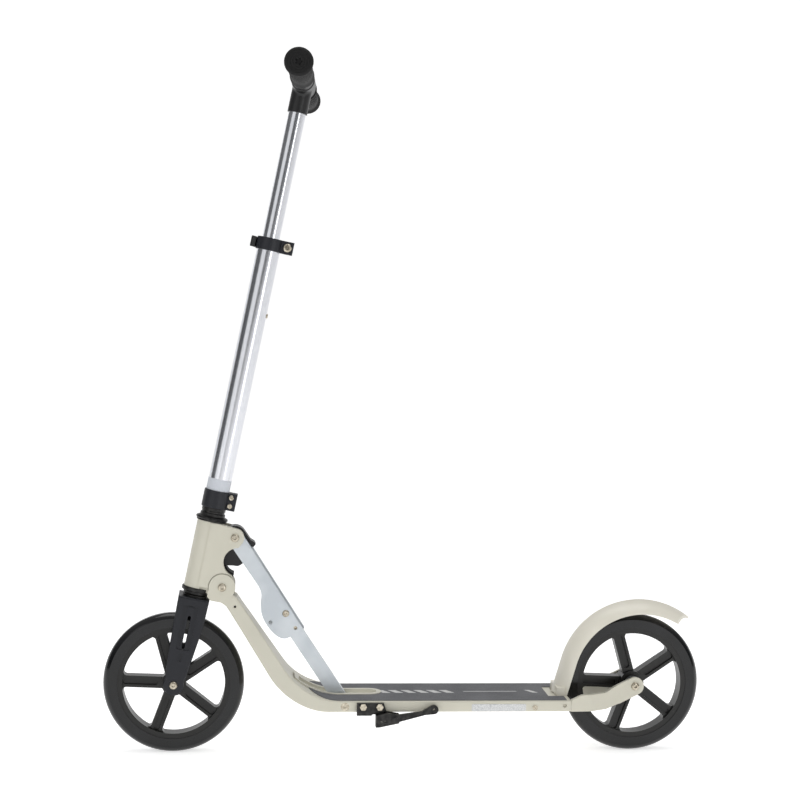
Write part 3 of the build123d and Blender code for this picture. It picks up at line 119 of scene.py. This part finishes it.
# Polyester powder coat over welded aluminium: sprayed dry and baked, so it has a faint orange-peel
# dimple about 1.6 mm across, a satin gloss and barely any change of colour.
cream_paint, tree, place = begin_finish("powder_coat_cream")
tone = add_node(tree, "ShaderNodeTexNoise", Vector=place, Scale=per_metre(90), Detail=3.0)
colour = blend_colours(tree, tone.outputs["Fac"], "#c8c5b6", "#cecbbc")
peel = add_node(tree, "ShaderNodeTexNoise", Vector=place, Scale=per_metre(1.6), Detail=2.0)
dimple = add_node(tree, "ShaderNodeBump", Strength=0.12, Distance=0.0002, Height=peel.outputs["Fac"])
haze = add_node(tree, "ShaderNodeTexNoise", Vector=place, Scale=per_metre(35), Detail=4.0)
gloss = add_node(tree, "ShaderNodeMapRange", Value=haze.outputs["Fac"], To_Min=0.34, To_Max=0.46)
shader = add_node(tree, "ShaderNodeBsdfPrincipled", Base_Color=colour, Roughness=gloss.outputs["Result"],
                  IOR=1.5, Normal=dimple.outputs["Normal"])
end_finish(tree, shader)

# Injection-moulded ABS in the same cream: glossier than the paint, with faint flow marks.
cream_plastic, tree, place = begin_finish("moulded_abs_cream")
flow = add_node(tree, "ShaderNodeTexNoise", Vector=place, Scale=per_metre(70), Detail=2.0, Distortion=0.6)
colour = blend_colours(tree, flow.outputs["Fac"], "#ddd9cb", "#e3dfd2")
skin = add_node(tree, "ShaderNodeTexNoise", Vector=place, Scale=per_metre(2.5), Detail=3.0)
ripple = add_node(tree, "ShaderNodeBump", Strength=0.05, Distance=0.0002, Height=skin.outputs["Fac"])
gloss = add_node(tree, "ShaderNodeMapRange", Value=flow.outputs["Fac"], To_Min=0.28, To_Max=0.36)
shader = add_node(tree, "ShaderNodeBsdfPrincipled", Base_Color=colour, Roughness=gloss.outputs["Result"],
                  IOR=1.52, Normal=ripple.outputs["Normal"])
end_finish(tree, shader)

# Silicon-carbide grip tape: grit bonded to a film, drawn as 0.9 mm grains so that it shows.
grit_tape, tree, place = begin_finish("grit_tape_charcoal")
grains = add_node(tree, "ShaderNodeTexVoronoi", Vector=place, Scale=per_metre(0.9))
wear = add_node(tree, "ShaderNodeTexNoise", Vector=place, Scale=per_metre(60), Detail=3.0)
spark = add_node(tree, "ShaderNodeMath", {"operation": "MULTIPLY_ADD"}, _0=grains.outputs["Distance"],
                 _1=0.7, _2=wear.outputs["Fac"])
colour = blend_colours(tree, spark.outputs["Value"], "#515255", "#6f7073", 0.4, 1.1)
# screen-printed in worn white: a row of slanted bars 19 mm apart along the middle, then a thin rule
spot = add_node(tree, "ShaderNodeSeparateXYZ", Vector=place)
across = add_node(tree, "ShaderNodeMath", {"operation": "ABSOLUTE"}, _0=spot.outputs["Y"]).outputs[0]
slant = add_node(tree, "ShaderNodeMath", {"operation": "MULTIPLY_ADD"}, _0=spot.outputs["Y"],
                 _1=PRINT_SLANT,
                 _2=spot.outputs["X"]).outputs[0]
steps = add_node(tree, "ShaderNodeMath", {"operation": "MULTIPLY"}, _0=slant,
                 _1=per_metre(BAR_PITCH)).outputs[0]
phase = add_node(tree, "ShaderNodeMath", {"operation": "FRACT"}, _0=steps).outputs[0]
bars = add_node(tree, "ShaderNodeMath", {"operation": "LESS_THAN"}, _0=phase, _1=0.6).outputs[0]
in_row = add_node(tree, "ShaderNodeMath", {"operation": "COMPARE"}, _0=slant, _1=0.019, _2=0.057).outputs[0]
in_width = add_node(tree, "ShaderNodeMath", {"operation": "LESS_THAN"}, _0=across,
                    _1=PRINT_HALF_WIDTH).outputs[0]
in_rule = add_node(tree, "ShaderNodeMath", {"operation": "COMPARE"}, _0=slant, _1=0.128, _2=0.04).outputs[0]
rule_width = add_node(tree, "ShaderNodeMath", {"operation": "LESS_THAN"}, _0=across,
                      _1=RULE_HALF_WIDTH).outputs[0]
in_dash = add_node(tree, "ShaderNodeMath", {"operation": "COMPARE"}, _0=slant, _1=0.190,
                   _2=0.004).outputs[0]
row = add_node(tree, "ShaderNodeMath", {"operation": "MULTIPLY"}, _0=bars, _1=in_row).outputs[0]
wide_ink = add_node(tree, "ShaderNodeMath", {"operation": "MAXIMUM"}, _0=row, _1=in_dash).outputs[0]
bar_ink = add_node(tree, "ShaderNodeMath", {"operation": "MULTIPLY"}, _0=wide_ink, _1=in_width).outputs[0]
rule_ink = add_node(tree, "ShaderNodeMath", {"operation": "MULTIPLY"}, _0=in_rule, _1=rule_width).outputs[0]
ink = add_node(tree, "ShaderNodeMath", {"operation": "MAXIMUM"}, _0=bar_ink, _1=rule_ink).outputs[0]
worn = add_node(tree, "ShaderNodeMapRange", Value=grains.outputs["Distance"], From_Max=0.6, To_Min=0.95,
                To_Max=0.7).outputs["Result"]
cover = add_node(tree, "ShaderNodeMath", {"operation": "MULTIPLY"}, _0=ink, _1=worn).outputs[0]
colour = add_node(tree, "ShaderNodeMix", {"data_type": "RGBA"}, _0=cover, _6=colour,
                  _7=paint_colour("#e4e4e2")).outputs[2]
grain_bump = add_node(tree, "ShaderNodeBump", Strength=0.6, Distance=0.0005,
                      Height=grains.outputs["Distance"])
shader = add_node(tree, "ShaderNodeBsdfPrincipled", Base_Color=colour, Roughness=0.82, IOR=1.5,
                  Normal=grain_bump.outputs["Normal"])
end_finish(tree, shader)

# Prismatic reflective film: 3 mm cells under a smooth clear face, so it looks pale and cellular.
reflective_film, tree, place = begin_finish("prismatic_film_silver")
cells = add_node(tree, "ShaderNodeTexVoronoi", {"feature": "DISTANCE_TO_EDGE"}, Vector=place,
                 Scale=per_metre(3))
colour = blend_colours(tree, cells.outputs["Distance"], "#b4b6b8", "#cfd0d0", 0.02, 0.12)
shader = add_node(tree, "ShaderNodeBsdfPrincipled", Base_Color=colour, Metallic=0.35, Roughness=0.3,
                  Coat_Weight=0.6, Coat_Roughness=0.08)
end_finish(tree, shader)

# Black epoxy powder coat on the steel fork and clamps: satin with a fine sandy texture.
black_paint, tree, place = begin_finish("powder_coat_black")
sand = add_node(tree, "ShaderNodeTexNoise", Vector=place, Scale=per_metre(0.9), Detail=3.0)
colour = blend_colours(tree, sand.outputs["Fac"], "#15161b", "#1e2027")
bump = add_node(tree, "ShaderNodeBump", Strength=0.25, Distance=0.0002, Height=sand.outputs["Fac"])
shader = add_node(tree, "ShaderNodeBsdfPrincipled", Base_Color=colour, Roughness=0.42, IOR=1.5,
                  Specular_IOR_Level=0.35, Normal=bump.outputs["Normal"])
end_finish(tree, shader)

# Black oxide on turned steel: a dark, oily metal, mottled where the oxide is thinner.
black_steel, tree, place = begin_finish("black_oxide_steel")
mottle = add_node(tree, "ShaderNodeTexNoise", Vector=place, Scale=per_metre(6), Detail=4.0)
colour = blend_colours(tree, mottle.outputs["Fac"], "#232323", "#3b3a39")
gloss = add_node(tree, "ShaderNodeMapRange", Value=mottle.outputs["Fac"], To_Min=0.28, To_Max=0.45)
shader = add_node(tree, "ShaderNodeBsdfPrincipled", Base_Color=colour, Metallic=0.8,
                  Roughness=gloss.outputs["Result"])
end_finish(tree, shader)

# Nickel-plated screws: bright, warm, slightly smudged.
nickel_steel, tree, place = begin_finish("nickel_plated_steel")
smudge = add_node(tree, "ShaderNodeTexNoise", Vector=place, Scale=per_metre(4), Detail=4.0)
colour = blend_colours(tree, smudge.outputs["Fac"], "#9c9484", "#cfc7b6")
gloss = add_node(tree, "ShaderNodeMapRange", Value=smudge.outputs["Fac"], To_Min=0.2, To_Max=0.36)
shader = add_node(tree, "ShaderNodeBsdfPrincipled", Base_Color=colour, Metallic=1.0,
                  Roughness=gloss.outputs["Result"])
end_finish(tree, shader)

# Drawn aluminium tube, polished along its length and clear anodised: long soft streaks
# just under 1 mm wide, and a bright metal under them.
tube_aluminium, tree, place = begin_finish("anodised_tube_aluminium")
lay = add_node(tree, "ShaderNodeMapping", Vector=place, Rotation=(0, -HEAD_TILT, 0),
               Scale=(per_metre(0.9), per_metre(0.9), per_metre(260)))
streak = add_node(tree, "ShaderNodeTexNoise", Vector=lay.outputs["Vector"], Scale=1.0, Detail=3.0)
colour = blend_colours(tree, streak.outputs["Fac"], "#cfd1d6", "#dcdde1")
gloss = add_node(tree, "ShaderNodeMapRange", Value=streak.outputs["Fac"], To_Min=0.17, To_Max=0.23)
bump = add_node(tree, "ShaderNodeBump", Strength=0.03, Distance=0.0001, Height=streak.outputs["Fac"])
shader = add_node(tree, "ShaderNodeBsdfPrincipled", Base_Color=colour, Metallic=1.0,
                  Roughness=gloss.outputs["Result"], Normal=bump.outputs["Normal"])
end_finish(tree, shader)

# Extruded and bead-blasted aluminium of the strut: a pale even metal with a fine frosted grain.
blasted_aluminium, tree, place = begin_finish("bead_blasted_aluminium")
frost = add_node(tree, "ShaderNodeTexNoise", Vector=place, Scale=per_metre(0.8), Detail=3.0)
tone = add_node(tree, "ShaderNodeTexNoise", Vector=place, Scale=per_metre(40), Detail=2.0)
colour = blend_colours(tree, tone.outputs["Fac"], "#c3c9ce", "#d2d7db")
bump = add_node(tree, "ShaderNodeBump", Strength=0.12, Distance=0.0001, Height=frost.outputs["Fac"])
gloss = add_node(tree, "ShaderNodeMapRange", Value=frost.outputs["Fac"], To_Min=0.38, To_Max=0.5)
shader = add_node(tree, "ShaderNodeBsdfPrincipled", Base_Color=colour, Metallic=0.9,
                  Roughness=gloss.outputs["Result"], Normal=bump.outputs["Normal"])
end_finish(tree, shader)

# Pale grey polypropylene band and sleeves: matt mouldings with a fine spark-eroded grain.
grey_plastic, tree, place = begin_finish("moulded_polypropylene_grey")
grain = add_node(tree, "ShaderNodeTexNoise", Vector=place, Scale=per_metre(0.7), Detail=2.0)
colour = blend_colours(tree, grain.outputs["Fac"], "#c3c7ce", "#cdd1d8")
bump = add_node(tree, "ShaderNodeBump", Strength=0.15, Distance=0.0001, Height=grain.outputs["Fac"])
shader = add_node(tree, "ShaderNodeBsdfPrincipled", Base_Color=colour, Roughness=0.5, IOR=1.49,
                  Normal=bump.outputs["Normal"])
end_finish(tree, shader)

# Black glass-filled nylon of the levers and the T piece: satin, with a leathery mould grain.
black_nylon, tree, place = begin_finish("moulded_nylon_black")
grain = add_node(tree, "ShaderNodeTexVoronoi", Vector=place, Scale=per_metre(1.1))
colour = blend_colours(tree, grain.outputs["Distance"], "#121213", "#1b1b1c", 0.1, 0.7)
bump = add_node(tree, "ShaderNodeBump", Strength=0.18, Distance=0.0002, Height=grain.outputs["Distance"])
shader = add_node(tree, "ShaderNodeBsdfPrincipled", Base_Color=colour, Roughness=0.4, IOR=1.53,
                  Specular_IOR_Level=0.35, Normal=bump.outputs["Normal"])
end_finish(tree, shader)

# Black thermoplastic rubber of the grips and buffer: matt, with a soft open pore.
black_rubber, tree, place = begin_finish("thermoplastic_rubber_black")
pores = add_node(tree, "ShaderNodeTexNoise", Vector=place, Scale=per_metre(1.2), Detail=4.0)
colour = blend_colours(tree, pores.outputs["Fac"], "#101010", "#191919")
bump = add_node(tree, "ShaderNodeBump", Strength=0.35, Distance=0.0003, Height=pores.outputs["Fac"])
shader = add_node(tree, "ShaderNodeBsdfPrincipled", Base_Color=colour, Roughness=0.72, IOR=1.5,
                  Specular_IOR_Level=0.28, Sheen_Weight=0.04, Normal=bump.outputs["Normal"])
end_finish(tree, shader)

# Cast polyurethane tyre: dense and glossy, near black, with a faint smoky depth and road scuffs.
tyre_urethane, tree, place = begin_finish("cast_polyurethane_black")
smoke = add_node(tree, "ShaderNodeTexNoise", Vector=place, Scale=per_metre(45), Detail=3.0)
colour = blend_colours(tree, smoke.outputs["Fac"], "#0a0b0c", "#111214")
scuff = add_node(tree, "ShaderNodeTexNoise", Vector=place, Scale=per_metre(5), Detail=5.0)
gloss = add_node(tree, "ShaderNodeMapRange", Value=scuff.outputs["Fac"], To_Min=0.12, To_Max=0.24)
shader = add_node(tree, "ShaderNodeBsdfPrincipled", Base_Color=colour, Roughness=gloss.outputs["Result"],
                  IOR=1.5, Specular_IOR_Level=0.3, Coat_Weight=0.2, Coat_Roughness=0.04)
end_finish(tree, shader)

# Black glass-filled nylon of the wheels: satin, slightly brown, with a fine grain.
wheel_nylon, tree, place = begin_finish("moulded_nylon_wheel")
grain = add_node(tree, "ShaderNodeTexNoise", Vector=place, Scale=per_metre(1.0), Detail=3.0)
colour = blend_colours(tree, grain.outputs["Fac"], "#121211", "#1a1a18")
bump = add_node(tree, "ShaderNodeBump", Strength=0.15, Distance=0.0002, Height=grain.outputs["Fac"])
shader = add_node(tree, "ShaderNodeBsdfPrincipled", Base_Color=colour, Roughness=0.34, IOR=1.53,
                  Specular_IOR_Level=0.35, Normal=bump.outputs["Normal"])
end_finish(tree, shader)

# Ground bearing steel: bright and cool, with small changes of tone.
bearing_steel, tree, place = begin_finish("ground_bearing_steel")
rings = add_node(tree, "ShaderNodeTexNoise", Vector=place, Scale=per_metre(1.5), Detail=3.0)
colour = blend_colours(tree, rings.outputs["Fac"], "#8f9194", "#b2b4b7")
shader = add_node(tree, "ShaderNodeBsdfPrincipled", Base_Color=colour, Metallic=1.0, Roughness=0.28)
end_finish(tree, shader)


# ---- grips ----
def make_grip(hand, name):
    """A ribbed rubber grip in place of the plain one: spun round the bar from a stepped outline."""
    end = GRIP_END
    outline = [(0, end - 3), (4.1, end - 3), (4.6, end - 0.4), (5.2, end)]
    for groove in (8, 11.5, 15):
        outline += [(groove - 0.6, end), (groove - 0.3, end - 0.6), (groove + 0.3, end - 0.6),
                    (groove + 0.6, end)]
    outline += [(17.6, end - 0.6), (19.4, end - 2), (20, end - 4), (19.4, end - 6.6), (17, end - 9),
                (16, end - 15), (15.6, end - 22)]
    for rib in range(RIB_COUNT):
        start = end - 26 - rib * RIB_PITCH
        swell = GRIP_RADIUS + 1.2 * math.sin(math.pi * rib / (RIB_COUNT - 1))
        outline += [(swell + 0.3, start), (swell + 0.3, start - 3), (swell - 0.5, start - 3.6),
                    (swell - 0.5, start - 4.4)]
    outline += [(GRIP_RADIUS, GRIP_START + 16), (16.4, GRIP_START + 11), (17.5, GRIP_START + 7),
                (17.5, GRIP_START + 0.8), (16.9, GRIP_START), (BAR_RADIUS, GRIP_START),
                (BAR_RADIUS, end - 5.5), (0, end - 5.5)]
    grip = bmesh.new()
    line = [grip.verts.new((radius * MM, along * MM, 0)) for radius, along in outline]
    edges = [grip.edges.new(pair) for pair in zip(line, line[1:])]
    bmesh.ops.spin(grip, geom=line + edges, angle=2 * math.pi, steps=60, axis=(0, 1, 0), cent=(0, 0, 0),
                   use_merge=True)
    bmesh.ops.remove_doubles(grip, verts=grip.verts, dist=1e-6)
    # the vent in the end is five-lobed
    for corner in grip.verts:
        reach = math.hypot(corner.co.x, corner.co.z)
        if corner.co.y > (end - 3.5) * MM and 0.003 < reach < 0.0053:
            lobes = 1 + 0.22 * math.cos(5 * math.atan2(corner.co.z, corner.co.x))
            corner.co.x *= lobes
            corner.co.z *= lobes
    bmesh.ops.scale(grip, vec=(1, hand, 1), verts=grip.verts)
    bmesh.ops.transform(grip, matrix=Matrix.Translation(BAR_CENTRE)
                        @ Matrix.Rotation(BAR_TURN, 4, COLUMN_UP), verts=grip.verts)
    bmesh.ops.recalc_face_normals(grip, faces=grip.faces)
    for face in grip.faces:
        face.smooth = True
    for edge in grip.edges:
        edge.smooth = edge.calc_face_angle(0) < math.radians(38)
    mesh = bpy.data.meshes.new(name)
    grip.to_mesh(mesh)
    grip.free()
    mesh.materials.append(black_rubber)
    piece = bpy.data.objects.new(name, mesh)
    bpy.context.scene.collection.objects.link(piece)
    return piece


for hand, name in ((-1, "left_grip"), (1, "right_grip")):
    ribbed = make_grip(hand, "ribbed_" + name)
    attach(ribbed, "upper_column")
    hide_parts(name)

finishes = {
    cream_paint: "deck_frame slot_trim rear_arm_left rear_arm_right head_shell",
    cream_plastic: "brake_fender",
    grit_tape: "grip_tape",
    reflective_film: "side_reflectors",
    black_paint: "fork foot_clamp height_clamp",
    black_steel: "headset_nut crown_race lower_cup upper_cup kickstand_bracket kickstand_leg "
                 "kickstand_pin",
    nickel_steel: "fold_bolt strut_bolt knee_bolt foot_pins rear_axle front_axle rear_arm_screws "
                  "foot_clamp_bolts height_button lock_pin fender_pin fender_spring kickstand_bolts "
                  "clamp_stud",
    tube_aluminium: "lower_tube upper_tube handlebar",
    blasted_aluminium: "strut_upper strut_lower",
    grey_plastic: "tube_band tube_bush",
    black_nylon: "release_lever clamp_lever tee_piece bar_sleeves",
    black_rubber: "head_buffer left_grip right_grip",
    tyre_urethane: "front_tyre rear_tyre",
    wheel_nylon: "front_rim rear_rim",
    bearing_steel: "headset_bearings front_bearings rear_bearings front_inner_spacer "
                   "rear_inner_spacer front_side_spacers rear_side_spacers steerer steerer_sleeve",
}
for finish, names in finishes.items():
    for name in names.split():
        mesh = nodes[name].data
        mesh.materials.clear()
        mesh.materials.append(finish)


# ---- camera, floor and light ----
camera_data = bpy.data.cameras.new("camera")
camera_data.lens = 76.61
camera_data.sensor_width = 36
camera = bpy.data.objects.new("camera", camera_data)
right = Vector((0.99536, -0.09418, 0.01951))
up = Vector((-0.01456, 0.05295, 0.99849))
back = right.cross(up).normalized()
turn = Matrix((right, up, back)).transposed().to_4x4()
camera.matrix_world = Matrix.Translation((-0.253487, -2.492092, 0.649287)) @ turn
bpy.context.scene.collection.objects.link(camera)
bpy.context.scene.camera = camera

# One seamless white sweep: flat far out on every side, then curving up behind the object
backdrop_mesh = bpy.data.meshes.new("backdrop")
sweep = bmesh.new()
bmesh.ops.create_grid(sweep, x_segments=1, y_segments=1, size=1)
bmesh.ops.scale(sweep, vec=(40, 24, 1), verts=sweep.verts)
bmesh.ops.translate(sweep, vec=(0, -17, 0), verts=sweep.verts)
far_edge = [e for e in sweep.edges if all(v.co.y > 6.9 for v in e.verts)]
bmesh.ops.spin(sweep, geom=far_edge + [v for v in sweep.verts if v.co.y > 6.9], angle=math.pi / 2,
               steps=24, axis=(1, 0, 0), cent=(0, 7, 5), use_duplicate=False)
for face in sweep.faces:
    face.smooth = True
sweep.to_mesh(backdrop_mesh)
sweep.free()
backdrop = bpy.data.objects.new("backdrop", backdrop_mesh)
bpy.context.scene.collection.objects.link(backdrop)
# Opal acrylic lit from below, as on a product table: matt white that glows a little by itself, with
# a slow drift of tone.
paper, tree, place = begin_finish("studio_opal_acrylic")
tone = add_node(tree, "ShaderNodeTexNoise", Vector=place, Scale=0.6, Detail=2.0)
colour = blend_colours(tree, tone.outputs["Fac"], "#f4f4f4", "#f7f7f7")
end_finish(tree, add_node(tree, "ShaderNodeBsdfPrincipled", Base_Color=colour, Roughness=0.95,
                          Emission_Color=paint_colour("#ffffff"), Emission_Strength=0.6))
backdrop_mesh.materials.append(paper)


def soft_light(name, place, aim, width, height, power):
    data = bpy.data.lights.new(name, "AREA")
    data.shape = "RECTANGLE"
    data.size = width
    data.size_y = height
    data.energy = power
    light = bpy.data.objects.new(name, data)
    light.location = place
    light.rotation_euler = (Vector(aim) - Vector(place)).to_track_quat("-Z", "Y").to_euler()
    bpy.context.scene.collection.objects.link(light)


soft_light("key", (-1.75, -1.95, 1.2), (-0.1, 0, 0.55), 1.9, 2.4, 12)
soft_light("strip", (1.15, -2.0, 1.0), (-0.1, 0, 0.55), 0.35, 2.2, 10)
soft_light("top", (0.1, 0.2, 2.5), (0, 0, 0.3), 2.6, 1.4, 22)

# A room with mid-grey walls and a white ceiling
world = bpy.data.worlds.new("studio")
world.use_nodes = True
bpy.context.scene.world = world
room = world.node_tree
direction = add_node(room, "ShaderNodeTexCoord").outputs["Generated"]
height = add_node(room, "ShaderNodeSeparateXYZ", Vector=direction).outputs["Z"]
walls = blend_colours(room, height, "#77797b", "#ffffff", 0.15, 0.85)
background = room.nodes["Background"]
background.inputs["Strength"].default_value = 0.5
room.links.new(walls, background.inputs["Color"])
bpy.context.scene.view_settings.view_transform = "Standard"
